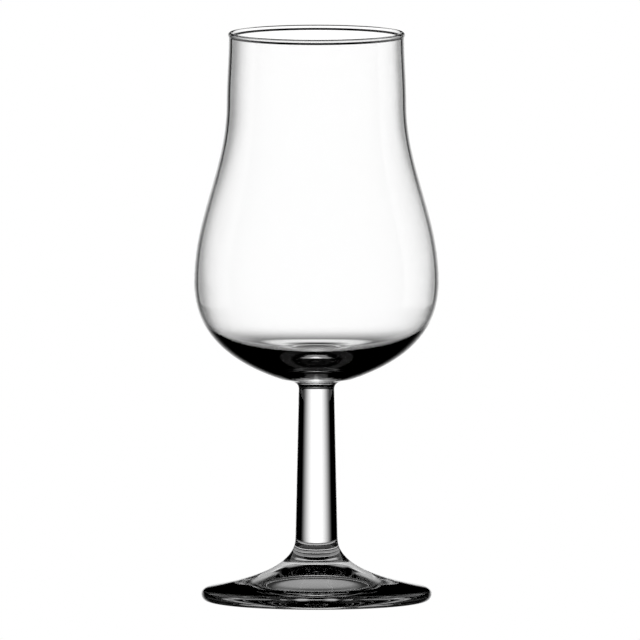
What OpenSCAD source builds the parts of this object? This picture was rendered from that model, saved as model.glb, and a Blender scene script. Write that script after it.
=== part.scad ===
// Stemmed nosing glass: a blown tulip bowl, a solid stem and a pressed foot,
// fused end to end. It stands on z = 0, with its axis on Z.

/* [Rim] */
// Height of the whole glass
total_h = 155; // [150:0.5:165]
// Diameter over the rolled bead at the rim
rim_d = 48.2; // [44:0.1:52]
// Thickness of the bead that fire-polishing leaves on the rim
bead_d = 1.4; // [1.3:0.1:1.8]
// Wall just below the bead
rim_wall = 0.9; // [0.8:0.1:1]

/* [Bowl] */
// Diameter of the nearly straight throat, where the bowl starts to open
throat_d = 48.9; // [45:0.1:52]
// Depth of the throat below the rim
throat_depth = 19.2; // [14:0.1:24]
// Widest diameter of the bowl
belly_d = 66.5; // [60:0.1:72]
// Height of the widest diameter
belly_z = 86.7; // [82:0.1:92]
// Wall at the widest diameter
belly_wall = 0.85; // [0.8:0.05:1.2]
// Diameter at which the bowl's round bottom meets its knuckle
knuckle_d = 20.4; // [18:0.1:24]
// Height of that meeting
knuckle_z = 60.6; // [60:0.1:62]
// Slope of the bottom there
knuckle_slope = 19; // [10:0.1:25]
// Height of the inside bottom on the axis
floor_z = 65.4; // [65:0.1:68]

/* [Stem] */
// Height of the weld between bowl and stem
stem_top_z = 57.8; // [56:0.1:58.2]
// Diameter of the stem at that weld
stem_top_d = 9.7; // [8:0.1:11]
// Height of the weld between stem and foot
stem_low_z = 16.8; // [15:0.1:20]
// Diameter of the stem at that weld
stem_low_d = 11.5; // [10:0.1:13]

/* [Foot] */
// Diameter of the foot over its rounded edge
foot_d = 62.6; // [58:0.1:68]
// Height at which the edge is widest
foot_edge_z = 1.8; // [1.4:0.1:2.2]
// Diameter at which the top of the foot turns into its edge
foot_shoulder_d = 59; // [54:0.1:60]
// Height of that turn
foot_shoulder_z = 3.5; // [3:0.1:4]
// Slope of the top of the foot there
foot_slope = 10.4; // [8:0.1:14]
// Outer diameter of the flat ring that the glass stands on
ring_d = 59.4; // [56:0.1:60]
// Width of that ring
ring_w = 7.6; // [5:0.1:9]
// Rise of the hollow underside on the axis
hollow_h = 6.5; // [4:0.1:7.5]

/* [Hidden] */
$fn = 128;

curve_steps = 20;
edge_steps = 8;
fillet_steps = 4;
glass_tint = [0.86, 0.9, 0.92, 0.45];

// The bead runs this many degrees past its widest, then a fillet leads into the wall
bead_turn = 35;
fillet_h = 0.4;
fillet_pull = 0.16;

rim_r = rim_d / 2;
bead_r = bead_d / 2;
bead_at = [rim_r - bead_r, total_h - bead_r];
lip_proud = (bead_d - rim_wall) / 2;
lip_r = rim_r - lip_proud;
lip_z = total_h - bead_r * (1 + sin(bead_turn)) - fillet_h;
throat_r = throat_d / 2;
throat_z = total_h - throat_depth;
belly_r = belly_d / 2;
knuckle_r = knuckle_d / 2;
stem_top_r = stem_top_d / 2;
stem_low_r = stem_low_d / 2;
foot_r = foot_d / 2;
shoulder_r = foot_shoulder_d / 2;
ring_r = ring_d / 2;

// Lengths of the handles that set how full each curve is
throat_pull = 18.2;
shoulder_pull = 18.8;
bottom_pull = 10.9;
base_pull = 18;
neck_pull = 6;
knuckle_pull = 1;
collar_pull = 2.4;
flare_pull = 6.2;
plate_pull = 15.2;
inner_bottom_pull = 15.4;
inner_floor_pull = 24.2;
hollow_pull = 8.9;
hollow_lead = [9.3, 0.8];

// How much higher the inside is widest than the outside
inner_lift = 1;

// How full the rounded edge of the foot is: above the turn, above its widest, and below
edge_full = [0.6, 0.5, 0.55];

// A point at a length along a direction given in degrees above +r
function along(from, angle, length) = from + length * [cos(angle), sin(angle)];

// One cubic curve from a to d with handles b and c, without its last point
function curve(a, b, c, d, n = curve_steps) = [
    for (i = [0:n - 1]) let (t = i / n, s = 1 - t)
        s * s * s * a + 3 * s * s * t * b + 3 * s * t * t * c + t * t * t * d
];

// Points round a circle, without the last one
function arc(centre, radius, from, to, n) = [
    for (i = [0:n - 1]) let (angle = from + (to - from) * i / n)
        centre + radius * [cos(angle), sin(angle)]
];

lip = [lip_r, lip_z];
throat = [throat_r, throat_z];
belly = [belly_r, belly_z];
knuckle = [knuckle_r, knuckle_z];
weld_top = [stem_top_r, stem_top_z];
weld_low = [stem_low_r, stem_low_z];
taper = (weld_top - weld_low) / norm(weld_top - weld_low);

bead_out = along(bead_at, -bead_turn, bead_r);
bead_in = along(bead_at, 180 + bead_turn, bead_r);
inner_lip = lip - [rim_wall, 0];
inner_throat = throat - [rim_wall, 0];
inner_belly = [belly_r - belly_wall, belly_z + inner_lift];
inner_floor = [0, floor_z];

// The bowl's outline, up the outside from its weld, over the bead and down the inside
bowl_outline = concat(
    [[0, stem_top_z]],
    curve(weld_top, weld_top + collar_pull * taper,
          along(knuckle, knuckle_slope, -knuckle_pull), knuckle, edge_steps),
    curve(knuckle, along(knuckle, knuckle_slope, base_pull),
          belly - [0, bottom_pull], belly),
    curve(belly, belly + [0, shoulder_pull],
          throat - [0, throat_pull], throat),
    curve(throat, throat + [0, neck_pull], lip - [0, neck_pull], lip, edge_steps),
    curve(lip, lip + [0, fillet_pull],
          along(bead_out, -90 - bead_turn, fillet_pull), bead_out, fillet_steps),
    arc(bead_at, bead_r, -bead_turn, 180 + bead_turn, 2 * edge_steps),
    curve(bead_in, along(bead_in, bead_turn - 90, fillet_pull),
          inner_lip + [0, fillet_pull], inner_lip, fillet_steps),
    curve(inner_lip, inner_lip - [0, neck_pull],
          inner_throat + [0, neck_pull], inner_throat, edge_steps),
    curve(inner_throat, inner_throat - [0, throat_pull],
          inner_belly + [0, shoulder_pull], inner_belly),
    curve(inner_belly, inner_belly - [0, inner_bottom_pull],
          inner_floor + [inner_floor_pull, 0], inner_floor),
    [inner_floor]
);

shoulder = [shoulder_r, foot_shoulder_z];
edge = [foot_r, foot_edge_z];
ring_outer = [ring_r, 0];
ring_inner = [ring_r - ring_w, 0];
hollow_top = [0, hollow_h];

// The foot's outline, down the flare from its weld, round the edge and under the hollow
foot_outline = concat(
    [[0, stem_low_z]],
    curve(weld_low, weld_low - flare_pull * taper,
          along(shoulder, -foot_slope, -plate_pull), shoulder),
    curve(shoulder, along(shoulder, -foot_slope, edge_full[0] * (foot_r - shoulder_r)),
          edge + [0, edge_full[1] * (foot_shoulder_z - foot_edge_z)], edge, edge_steps),
    curve(edge, edge - [0, edge_full[2] * foot_edge_z],
          ring_outer + [edge_full[2] * (foot_r - ring_r), 0], ring_outer, edge_steps),
    [ring_outer],
    curve(ring_inner, ring_inner + [-hollow_lead[0], hollow_lead[1]],
          hollow_top + [hollow_pull, 0], hollow_top),
    [hollow_top]
);

module bowl() {
    color(glass_tint) rotate_extrude() polygon(bowl_outline);
}

module stem() {
    color(glass_tint) translate([0, 0, stem_low_z])
        cylinder(h = stem_top_z - stem_low_z, r1 = stem_low_r, r2 = stem_top_r);
}

module foot() {
    color(glass_tint) rotate_extrude() polygon(foot_outline);
}

bowl();
stem();
foot();
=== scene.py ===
# Whisky nosing glass: a blown bowl, a drawn stem and a pressed foot, fused end to end.
import math
import bpy
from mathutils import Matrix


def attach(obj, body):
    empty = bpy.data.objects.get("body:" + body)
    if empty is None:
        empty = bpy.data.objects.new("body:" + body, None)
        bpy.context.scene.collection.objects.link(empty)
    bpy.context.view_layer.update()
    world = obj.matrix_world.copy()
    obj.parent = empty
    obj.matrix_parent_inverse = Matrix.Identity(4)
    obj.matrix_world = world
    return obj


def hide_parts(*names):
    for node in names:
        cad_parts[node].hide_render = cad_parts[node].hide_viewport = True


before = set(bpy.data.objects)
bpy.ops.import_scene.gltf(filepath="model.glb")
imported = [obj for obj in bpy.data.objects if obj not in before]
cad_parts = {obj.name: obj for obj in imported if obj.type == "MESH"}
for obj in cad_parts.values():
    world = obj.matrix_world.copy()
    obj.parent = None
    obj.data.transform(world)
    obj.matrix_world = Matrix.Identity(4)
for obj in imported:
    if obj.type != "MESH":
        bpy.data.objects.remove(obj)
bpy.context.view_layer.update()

# Bowl
# Blown into a mould from clear glass and cut to height. The cut edge is melted smooth, which
# leaves the round bead at the rim. Its thick bottom ends in a small knuckle for the stem.
total_height = 0.155
rim_diameter = 0.0482
bead_diameter = 0.0014
rim_wall = 0.0009
throat_depth = 0.0192
throat = (0.02445, total_height - throat_depth)
belly = (0.03325, 0.0867)
belly_wall = 0.00085
inner_lift = 0.001
knuckle = (0.0102, 0.0606)
knuckle_slope = 19
bowl_floor = (0.0, 0.0654)
stem_top = (0.00485, 0.0578)
stem_slope = 91.26

# The bead runs this many degrees past its widest, then a fillet leads into the wall
bead_turn = 35
bead_arcs = 4
fillet_height = 0.0004
fillet_pull = 0.00016

# Lengths of the handles that set how full each curve of the bowl is
collar_pull = 0.0024
knuckle_pull = 0.001
base_pull = 0.018
bottom_pull = 0.0109
shoulder_pull = 0.0188
throat_pull = 0.0182
neck_pull = 0.006
inner_bottom_pull = 0.0154
inner_floor_pull = 0.0242


def above(point, height):
    """The point at a height above another one."""
    return (point[0], point[1] + height)


def along(point, slope, length):
    """The point at a length from another one, up a slope given in degrees."""
    angle = math.radians(slope)
    return (point[0] + length * math.cos(angle), point[1] + length * math.sin(angle))


def knot(before, at, after):
    """One Bezier point of a half-section, with its two handles. None is a handle of no length."""
    return (before or at, at, after or at)


def arc(centre, radius, start, stop, count, lead):
    """Knots of a circular arc. The handles that lead into and out of it have their own length."""
    step = (stop - start) / count
    reach = 4 / 3 * math.tan(math.radians(step) / 4) * radius
    knots = []
    for index in range(count + 1):
        angle = start + step * index
        at = along(centre, angle, radius)
        before = along(at, angle - 90, reach if index > 0 else lead)
        after = along(at, angle + 90, reach if index < count else lead)
        knots.append(knot(before, at, after))
    return knots


def turned(name, knots):
    """Draws a half-section from the axis out and back, and spins it into one closed solid."""
    curve_resolution = 20
    steps_round = 160
    seam_gap = 1e-6
    smooth_below = math.radians(35)
    bpy.ops.object.select_all(action="DESELECT")
    bpy.ops.curve.primitive_bezier_curve_add(location=(0, 0, 0))
    piece = bpy.context.object
    piece.name = name
    piece.data.name = name
    piece.data.resolution_u = curve_resolution
    points = piece.data.splines[0].bezier_points
    points.add(len(knots) - len(points))
    for point, (before, at, after) in zip(points, knots):
        point.handle_left_type = "FREE"
        point.handle_right_type = "FREE"
        point.handle_left = (before[0], 0, before[1])
        point.co = (at[0], 0, at[1])
        point.handle_right = (after[0], 0, after[1])
    bpy.ops.object.convert(target="MESH")
    bpy.ops.object.mode_set(mode="EDIT")
    bpy.ops.mesh.select_all(action="SELECT")
    bpy.ops.mesh.spin(steps=steps_round, angle=2 * math.pi, center=(0, 0, 0), axis=(0, 0, 1))
    bpy.ops.mesh.select_all(action="SELECT")
    bpy.ops.mesh.remove_doubles(threshold=seam_gap)
    bpy.ops.mesh.normals_make_consistent(inside=False)
    bpy.ops.object.mode_set(mode="OBJECT")
    bpy.ops.object.shade_smooth_by_angle(angle=smooth_below)
    return piece


def colour(code):
    """A linear colour from an sRGB hex value."""
    parts = [int(code[start:start + 2], 16) / 255 for start in (1, 3, 5)]
    return [c / 12.92 if c <= 0.04045 else ((c + 0.055) / 1.055) ** 2.4 for c in parts] + [1]


def node(tree, kind, inputs=(), **settings):
    """Adds a shader node, sets its properties, then sets or links its inputs.

    An input that is given another node is linked to that node's first output."""
    made = tree.nodes.new(kind)
    for key, value in settings.items():
        setattr(made, key, value)
    for key, value in dict(inputs).items():
        if isinstance(value, bpy.types.Node):
            value = value.outputs[0]
        if isinstance(value, bpy.types.NodeSocket):
            tree.links.new(value, made.inputs[key])
        else:
            made.inputs[key].default_value = value
    return made


def bare_material(name):
    """A new material with no nodes yet."""
    material = bpy.data.materials.new(name)
    material.use_nodes = True
    material.node_tree.nodes.clear()
    return material


def glass(name, wave_size, wave_height):
    """Clear glass with a faint waviness, whose size and height are given in metres."""
    material = bare_material(name)
    tree = material.node_tree
    place = node(tree, "ShaderNodeTexCoord")
    waves = node(tree, "ShaderNodeTexNoise", {
        "Vector": place.outputs["Object"], "Scale": 1 / wave_size, "Detail": 1.0})
    bump = node(tree, "ShaderNodeBump", {
        "Height": waves, "Distance": wave_height, "Strength": 1.0})
    body = node(tree, "ShaderNodeBsdfPrincipled", {
        "Base Color": colour("#FFFFFF"), "Roughness": 0.0, "IOR": 1.52,
        "Transmission Weight": 1.0, "Normal": bump})
    node(tree, "ShaderNodeOutputMaterial", {"Surface": body})
    return material


# Where two pieces are melted into one, nothing bends or shines, so the eye sees no joint
fused = bare_material("fused glass joint")
see_through = node(fused.node_tree, "ShaderNodeBsdfTransparent")
node(fused.node_tree, "ShaderNodeOutputMaterial", {"Surface": see_through})


def finish(piece, material, weld_heights):
    """Gives the piece its glass, and its flat faces at the welds the look of fused glass."""
    flat_enough = 0.999
    hair = 1e-5
    piece.data.materials.append(material)
    piece.data.materials.append(fused)
    fused_slot = piece.data.materials.find(fused.name)
    for face in piece.data.polygons:
        flat = abs(face.normal.z) > flat_enough
        if flat and any(abs(face.center.z - height) < hair for height in weld_heights):
            face.material_index = fused_slot


bead_radius = bead_diameter / 2
bead_centre = (rim_diameter / 2 - bead_radius, total_height - bead_radius)
bead = arc(bead_centre, bead_radius, -bead_turn, 180 + bead_turn, bead_arcs, fillet_pull)
lip = (bead_centre[0] + rim_wall / 2,
       along(bead_centre, -bead_turn, bead_radius)[1] - fillet_height)
inner_lip = (lip[0] - rim_wall, lip[1])
inner_throat = (throat[0] - rim_wall, throat[1])
inner_belly = (belly[0] - belly_wall, belly[1] + inner_lift)
bowl_outline = [
    knot(None, (0, stem_top[1]), None),
    knot(None, stem_top, along(stem_top, stem_slope, collar_pull)),
    knot(along(knuckle, knuckle_slope, -knuckle_pull), knuckle,
         along(knuckle, knuckle_slope, base_pull)),
    knot(above(belly, -bottom_pull), belly, above(belly, shoulder_pull)),
    knot(above(throat, -throat_pull), throat, above(throat, neck_pull)),
    knot(above(lip, -neck_pull), lip, above(lip, fillet_pull)),
    *bead,
    knot(above(inner_lip, fillet_pull), inner_lip, above(inner_lip, -neck_pull)),
    knot(above(inner_throat, neck_pull), inner_throat, above(inner_throat, -throat_pull)),
    knot(above(inner_belly, shoulder_pull), inner_belly, above(inner_belly, -inner_bottom_pull)),
    knot((inner_floor_pull, bowl_floor[1]), bowl_floor, None),
]
bowl = turned("blown_bowl", bowl_outline)
# Blown glass is fire-polished and almost even, so it is clear with clean dark edges
blown_glass = glass("blown crystalline glass", wave_size=0.03, wave_height=0.00002)
finish(bowl, blown_glass, [stem_top[1]])
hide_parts("bowl")
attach(bowl, "root")

# Stem
# A solid rod of the same glass, drawn slightly thinner towards the top while hot, and
# butt-welded under the bowl's knuckle.
stem_low = (0.00575, 0.0168)
stem_outline = [
    knot(None, (0, stem_low[1]), None),
    knot(None, stem_low, None),
    knot(None, stem_top, None),
    knot(None, (0, stem_top[1]), None),
]
stem = turned("drawn_stem", stem_outline)
# Drawing pulls the waves out nearly flat, so the rod is a clean lens, bright along the middle
# between two dark edges
drawn_glass = glass("drawn crystalline glass", wave_size=0.02, wave_height=0.00001)
finish(stem, drawn_glass, [stem_low[1], stem_top[1]])
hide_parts("stem")
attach(stem, "root")

# Foot
# Pressed from the same glass in an open mould, fire-finished, and welded to the stem where it
# flares up. Its underside is hollow inside the broad flat ring that it stands on.
foot_edge = (0.0313, 0.0018)
foot_shoulder = (0.0295, 0.0035)
foot_slope = -10.4
ring_outer = (0.0297, 0)
ring_inner = (0.0221, 0)
hollow_top = (0, 0.0065)

# Lengths of the handles that set how full each curve of the foot is
flare_pull = 0.0062
plate_pull = 0.0152
shoulder_lead = 0.00108
edge_pull_up = 0.00085
edge_pull_down = 0.00099
ring_lead = 0.00088
hollow_lead = (0.0093, 0.0008)
hollow_pull = 0.0089
foot_outline = [
    knot(None, (0, stem_low[1]), None),
    knot(None, stem_low, along(stem_low, stem_slope, -flare_pull)),
    knot(along(foot_shoulder, foot_slope, -plate_pull), foot_shoulder,
         along(foot_shoulder, foot_slope, shoulder_lead)),
    knot(above(foot_edge, edge_pull_up), foot_edge, above(foot_edge, -edge_pull_down)),
    knot((ring_outer[0] + ring_lead, 0), ring_outer, None),
    knot(None, ring_inner, (ring_inner[0] - hollow_lead[0], hollow_lead[1])),
    knot((hollow_pull, hollow_top[1]), hollow_top, None),
]
foot = turned("pressed_foot", foot_outline)
# The mould leaves the plate a little wavy, which breaks up what shows through it
pressed_glass = glass("pressed crystalline glass", wave_size=0.014, wave_height=0.00006)
finish(foot, pressed_glass, [stem_low[1]])
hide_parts("foot")
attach(foot, "root")

# Floor
# A plain white table, a hair below the glass. Under the foot a glowing disc shows only through
# the glass, with painted shade and painted light: grey in the middle, nearly black round that,
# and pale below the ring.
disc_corners = 64
floor_radius = 6.0
floor_drop = 0.0002
shade_radius = 0.045
shade_drop = 0.0001


def table_disc(name, radius, drop, material):
    """A flat disc at the height of the table, which isn't part of the glass."""
    bpy.ops.object.select_all(action="DESELECT")
    bpy.ops.mesh.primitive_circle_add(vertices=disc_corners, radius=radius, fill_type="NGON",
                                      location=(0, 0, -drop))
    disc = bpy.context.object
    disc.name = name
    disc.visible_glossy = False
    disc.data.materials.append(material)
    return disc


white_table = bare_material("lit white table")
glow = node(white_table.node_tree, "ShaderNodeEmission", {
    "Color": colour("#FFFFFF"), "Strength": 1.0})
node(white_table.node_tree, "ShaderNodeOutputMaterial", {"Surface": glow})
floor = table_disc("floor", floor_radius, floor_drop, white_table)
floor.visible_transmission = False

# Painted shade and painted light on the disc at each distance from the middle of the foot
painted_shade_greys = ((0.0, 0.42), (0.009, 0.38), (0.013, 0.05), (0.019, 0.03), (0.022, 0.75),
               (0.028, 0.75), (0.032, 0.2))
# The disc glows in these greys of painted shade and painted light, and no lamp lights it
painted_shade_table = bare_material("painted shade under the foot")
tree = painted_shade_table.node_tree
spot = node(tree, "ShaderNodeTexCoord")
from_middle = node(tree, "ShaderNodeVectorMath", {0: spot.outputs["Object"]}, operation="LENGTH")
way_out = node(tree, "ShaderNodeMath", {0: from_middle.outputs["Value"], 1: shade_radius},
               operation="DIVIDE")
greys = node(tree, "ShaderNodeValToRGB", {"Fac": way_out})
greys.color_ramp.interpolation = "EASE"
stops = greys.color_ramp.elements
stops.remove(stops[1])
for distance, grey in painted_shade_greys:
    stop = stops.new(distance / shade_radius) if distance > 0 else stops[0]
    stop.color = (grey, grey, grey, 1)

# Light that turned back once or twice inside the glass, which is 1.5 times give or take one,
# finds the painted shade much darker
turned_share = 0.15
once_or_twice = 1.5
give_or_take = 1.0
trip = node(tree, "ShaderNodeLightPath")
turns = node(tree, "ShaderNodeMath", {
    0: trip.outputs["Ray Depth"], 1: trip.outputs["Transmission Depth"]}, operation="SUBTRACT")
turned_so = node(tree, "ShaderNodeMath", {0: turns, 1: once_or_twice, 2: give_or_take},
                 operation="COMPARE")
kept_light = node(tree, "ShaderNodeMapRange", {
    "Value": turned_so, "To Min": 1.0, "To Max": turned_share})
painted_shade_glow = node(tree, "ShaderNodeEmission", {"Color": greys, "Strength": kept_light})
node(tree, "ShaderNodeOutputMaterial", {"Surface": painted_shade_glow})
shade = table_disc("shade", shade_radius, shade_drop, painted_shade_table)
shade.visible_camera = False

# Light
# Clear glass shows what stands behind it, so lit panels with soft edges stand round it, and the
# dark between them draws its edges. The camera itself sees only white.
world = bpy.data.worlds.new("studio")
bpy.context.scene.world = world
world.use_nodes = True
studio = world.node_tree
studio.nodes.clear()
way = node(studio, "ShaderNodeTexCoord")
parts = node(studio, "ShaderNodeSeparateXYZ", {"Vector": way.outputs["Generated"]})
azimuth = node(studio, "ShaderNodeMath", {0: parts.outputs["X"], 1: parts.outputs["Y"]},
               operation="ARCTAN2")
elevation = node(studio, "ShaderNodeMath", {0: parts.outputs["Z"]}, operation="ARCSINE")


def panel(centre, full, dark, rise, strength):
    """A panel round an azimuth: full up to one angle on each side of it, and dark past the next.

    The four elevations of rise are where it is dark, full, still full and dark again."""
    turn = node(studio, "ShaderNodeMath", {0: azimuth, 1: math.radians(centre)},
                operation="SUBTRACT")
    half_turn = node(studio, "ShaderNodeMath", {0: turn, 1: math.pi, 2: -math.pi},
                     operation="WRAP")
    aside = node(studio, "ShaderNodeMath", {0: half_turn}, operation="ABSOLUTE")
    light = strength
    for angle, unlit, lit in ((aside, dark, full), (elevation, rise[0], rise[1]),
                              (elevation, rise[3], rise[2])):
        soft_edge = node(studio, "ShaderNodeMapRange", {
            "Value": angle, "From Min": math.radians(unlit), "From Max": math.radians(lit)},
            interpolation_type="SMOOTHSTEP")
        light = node(studio, "ShaderNodeMath", {0: light, 1: soft_edge}, operation="MULTIPLY")
    return light


# How the light went: how many faces of glass it crossed, and whether it turned back inside. It
# crosses four faces in the bowl's two walls, and two in the stem. The count of steps is one
# higher here than at a surface.
straight_below = 1.5
walls_above = 3.5
outside_below = 0.5
path = node(studio, "ShaderNodeLightPath")
crossed = path.outputs["Transmission Depth"]
bounced = node(studio, "ShaderNodeMath", {0: path.outputs["Ray Depth"], 1: crossed},
               operation="SUBTRACT")
straight = node(studio, "ShaderNodeMath", {0: bounced, 1: straight_below},
                operation="LESS_THAN")
turned_back = node(studio, "ShaderNodeMath", {0: 1.0, 1: straight}, operation="SUBTRACT")
many_faces = node(studio, "ShaderNodeMath", {0: crossed, 1: walls_above},
                  operation="GREATER_THAN")
few_faces = node(studio, "ShaderNodeMath", {0: 1.0, 1: many_faces}, operation="SUBTRACT")
through_walls = node(studio, "ShaderNodeMath", {0: straight, 1: many_faces},
                     operation="MULTIPLY")
through_solid = node(studio, "ShaderNodeMath", {0: straight, 1: few_faces},
                     operation="MULTIPLY")
turned_inside = node(studio, "ShaderNodeMath", {
    0: turned_back, 1: path.outputs["Is Transmission Ray"]}, operation="MULTIPLY")
off_outside = node(studio, "ShaderNodeMath", {0: crossed, 1: outside_below},
                   operation="LESS_THAN")

# Each way, with the groups of panels that light meets on it: their azimuth, full and dark
# angles, rise and strength. Panels in one group add up, and the brightest group shows.
side_strength = 1.35
beside_rise = (-22, -12, 4, 10)
corner_rise = (-48, -40, -25, -20)
behind_rise = (-38, -30, -10, -2)
wall_rise = (-34, -10, -2, 8)
inner_rise = (-65, -20, -3, 9)
flank_rise = (-6, 0, 12, 26)
ways = (
    (straight, (
        [(180, 5, 26, (-32, -22, 6, 14), side_strength)],
        [(90, 5, 18, beside_rise, side_strength)],
        [(270, 5, 18, beside_rise, side_strength)],
        [(45, 5, 20, corner_rise, side_strength)],
        [(315, 5, 20, corner_rise, side_strength)],
        [(135, 5, 24, behind_rise, side_strength)],
        [(225, 5, 24, behind_rise, side_strength)],
    )),
    (through_walls, (
        [(1, 3, 9, wall_rise, 0.55), (1, 5, 30, wall_rise, 0.63)],
        [(0, 8, 32, (-33, -29.5, -28.5, -24.5), 1.15)],
    )),
    (through_solid, (
        [(0, 5, 37, (-39, -29, -2, 8), 1.2)],
    )),
    (turned_inside, (
        [(1, 3, 10, inner_rise, 0.75), (1, 6, 28, inner_rise, 0.45)],
        [(13, 3, 8, flank_rise, 0.55), (-13, 3, 8, flank_rise, 0.55)],
        [(0, 35, 65, (-80, -60, -32, -22), 0.22)],
    )),
    (off_outside, (
        [(0, 8, 30, (-28, -8, 2, 6), 0.9)],
    )),
)
brightest = path.outputs["Is Camera Ray"]
for way_through, groups in ways:
    for group in groups:
        light = panel(*group[0])
        for beside in group[1:]:
            light = node(studio, "ShaderNodeMath", {0: light, 1: panel(*beside)},
                         operation="ADD")
        seen = node(studio, "ShaderNodeMath", {0: way_through, 1: light}, operation="MULTIPLY")
        brightest = node(studio, "ShaderNodeMath", {0: brightest, 1: seen}, operation="MAXIMUM")
shine = node(studio, "ShaderNodeBackground", {"Color": colour("#FFFFFF"), "Strength": brightest})
node(studio, "ShaderNodeOutputWorld", {"Surface": shine})

# A softbox on each side of the bowl, a little behind it, which shows only as a reflection
softbox_width = 0.17
softbox_height = 0.17
softbox_aside = 0.12
softbox_back = 0.065
softbox_up = 0.133
for side, softbox_strength in ((-1, 0.65), (1, 0.8)):
    softbox_data = bpy.data.lights.new("softbox", "AREA")
    softbox_data.shape = "RECTANGLE"
    softbox_data.size = softbox_width
    softbox_data.size_y = softbox_height
    softbox_data.energy = softbox_strength * math.pi * softbox_width * softbox_height
    softbox = bpy.data.objects.new("softbox", softbox_data)
    softbox.location = (side * softbox_aside, softbox_back, softbox_up)
    softbox.rotation_euler = (math.radians(90), 0, side * math.radians(90))
    softbox.visible_camera = False
    softbox.visible_transmission = False
    bpy.context.collection.objects.link(softbox)

# Camera
# An orthographic view, as through a very long lens, from about 5 degrees above level. The axis
# and the ground are put at their column and row of the picture.
frame_width = 0.174
frame_pixels = 640
camera_elevation = 5.05
camera_distance = 1.0
axis_column = 316
ground_row = 599.7
pixel = frame_width / frame_pixels
middle_pixel = (frame_pixels - 1) / 2
tilt = math.radians(camera_elevation)
aside = (middle_pixel - axis_column) * pixel
up = (ground_row - middle_pixel) * pixel
camera_data = bpy.data.cameras.new("camera")
camera_data.type = "ORTHO"
camera_data.ortho_scale = frame_width
camera = bpy.data.objects.new("camera", camera_data)
camera.location = (aside, up * math.sin(tilt) - camera_distance * math.cos(tilt),
                   up * math.cos(tilt) + camera_distance * math.sin(tilt))
camera.rotation_euler = (math.radians(90) - tilt, 0, 0)
bpy.context.collection.objects.link(camera)
bpy.context.scene.camera = camera
bpy.context.scene.view_settings.view_transform = "Standard"
